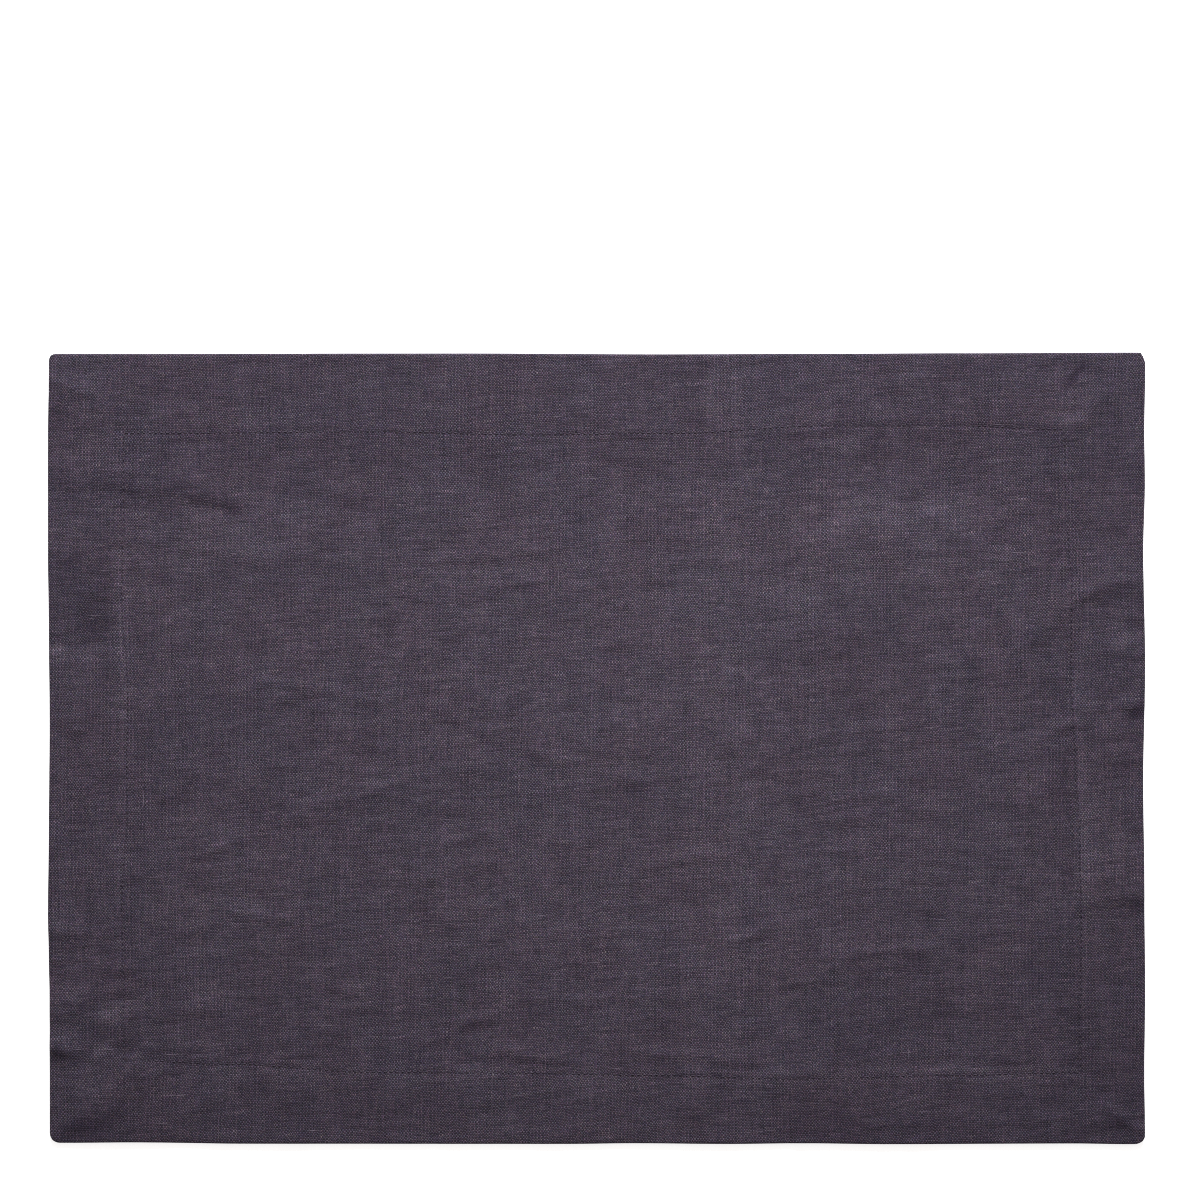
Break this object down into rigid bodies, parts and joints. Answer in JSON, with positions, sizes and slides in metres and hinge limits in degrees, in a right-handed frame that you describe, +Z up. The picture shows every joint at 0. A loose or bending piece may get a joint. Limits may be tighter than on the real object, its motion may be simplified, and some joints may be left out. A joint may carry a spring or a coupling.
{
  "type": "fabric placemat",
  "caption": "Flat rectangular linen placemat with a wide hem turned to the back and mitred at the corners; lies on a table under a place setting.",
  "frame": {"origin": "middle of the mat's box, on the surface that it lies on", "axes": "+X along the long side, +Y towards the far long side, +Z up through the face of the cloth"},
  "size_m": [0.5, 0.36, 0.0031],
  "materials": {
    "linen": "matt dark aubergine-grey plain-weave linen with slubs"
  },
  "bodies": {
    "root": {"placemat_cloth": "linen"}
  },
  "joints": []
}
